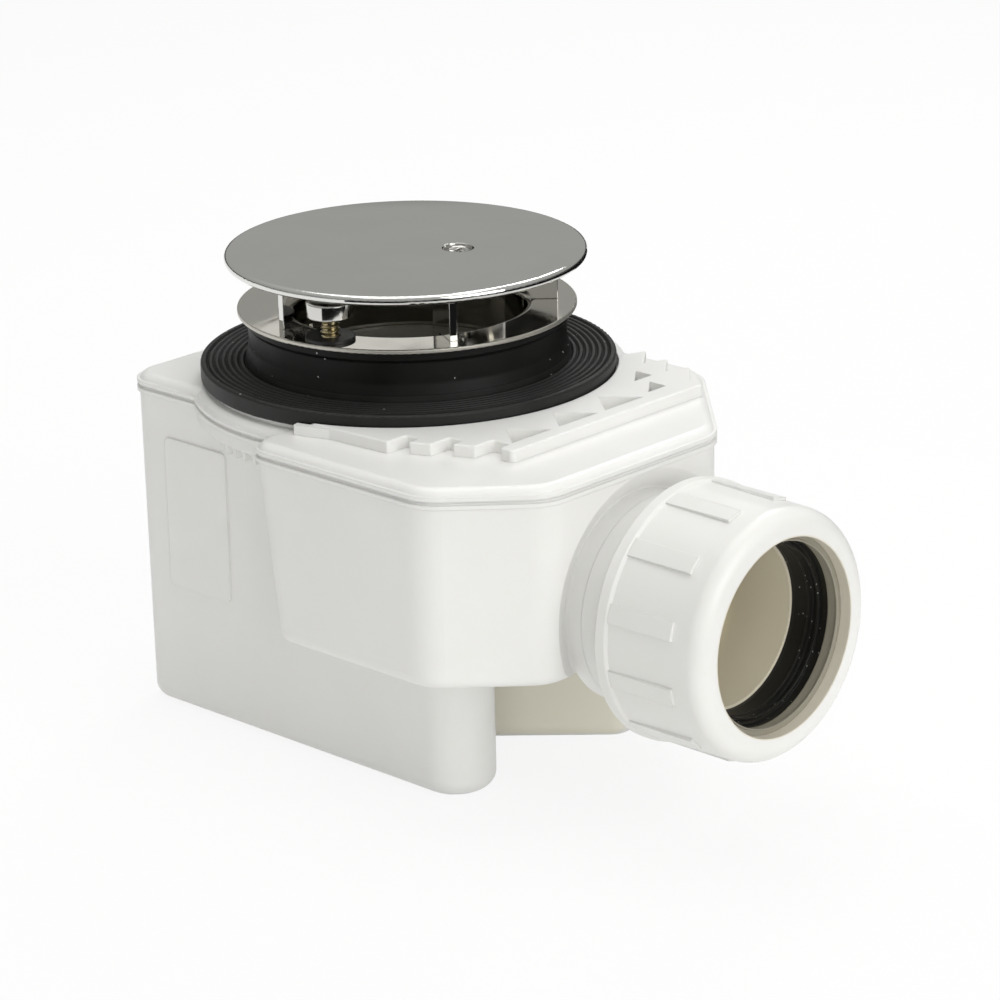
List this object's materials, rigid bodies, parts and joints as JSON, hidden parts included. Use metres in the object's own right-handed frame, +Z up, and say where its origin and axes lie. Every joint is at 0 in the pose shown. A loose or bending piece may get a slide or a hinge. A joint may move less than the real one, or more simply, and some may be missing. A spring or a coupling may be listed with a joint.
{
  "type": "shower drain trap",
  "caption": "Shower drain trap with a domed chrome cover, clamped steel flange, black tray gasket, white welded water trap body and a horizontal outlet with a union nut.",
  "frame": {"origin": "on the drain axis at the underside of the trough, where it stands", "axes": "+Z up along the drain axis, +X along the outlet pipe, -Y towards the face with the shallow panel"},
  "size_m": [0.2314, 0.1459, 0.1514],
  "materials": {
    "white_plastic": "semi-gloss moulded",
    "nut_plastic": "semi-gloss moulded",
    "black_rubber": "satin rubber",
    "polished_steel": "polished",
    "brass_metal": "turned",
    "dark_washer": "dark oxide",
    "chrome_plate": "mirror chrome",
    "screw_steel": "bright",
    "grey_plastic": "matt moulded",
    "beige_plastic": "matt moulded"
  },
  "bodies": {
    "drain": {"trough_housing": "white_plastic", "outlet_stub": "white_plastic", "housing_lid": "white_plastic", "tray_gasket": "black_rubber", "flange_seal": "black_rubber", "drain_flange": "polished_steel", "clamp_screws": "brass_metal", "clamp_washers": "dark_washer", "thread_inserts": "brass_metal", "cover": "chrome_plate", "cover_screw": "screw_steel", "dip_tube": "grey_plastic", "dip_tube_seal": "black_rubber", "pipe_seal": "black_rubber"},
    "ring": {"slip_ring": "beige_plastic"},
    "nut": {"union_nut": "nut_plastic"}
  },
  "joints": [
    {"name": "ring_slide", "type": "slide", "parent": "drain", "child": "ring", "axis": [1, 0, 0], "range_m": [0, 0.008]},
    {"name": "nut_turn", "type": "hinge", "parent": "ring", "child": "nut", "pos_m": [0.141, -0.01, 0.0637], "axis": [1, 0, 0], "range_deg": [0, 720]}
  ],
  "couplings": [
    {"joint": "ring_slide", "follows": "nut_turn", "m_per_rad": 0.00063662}
  ]
}
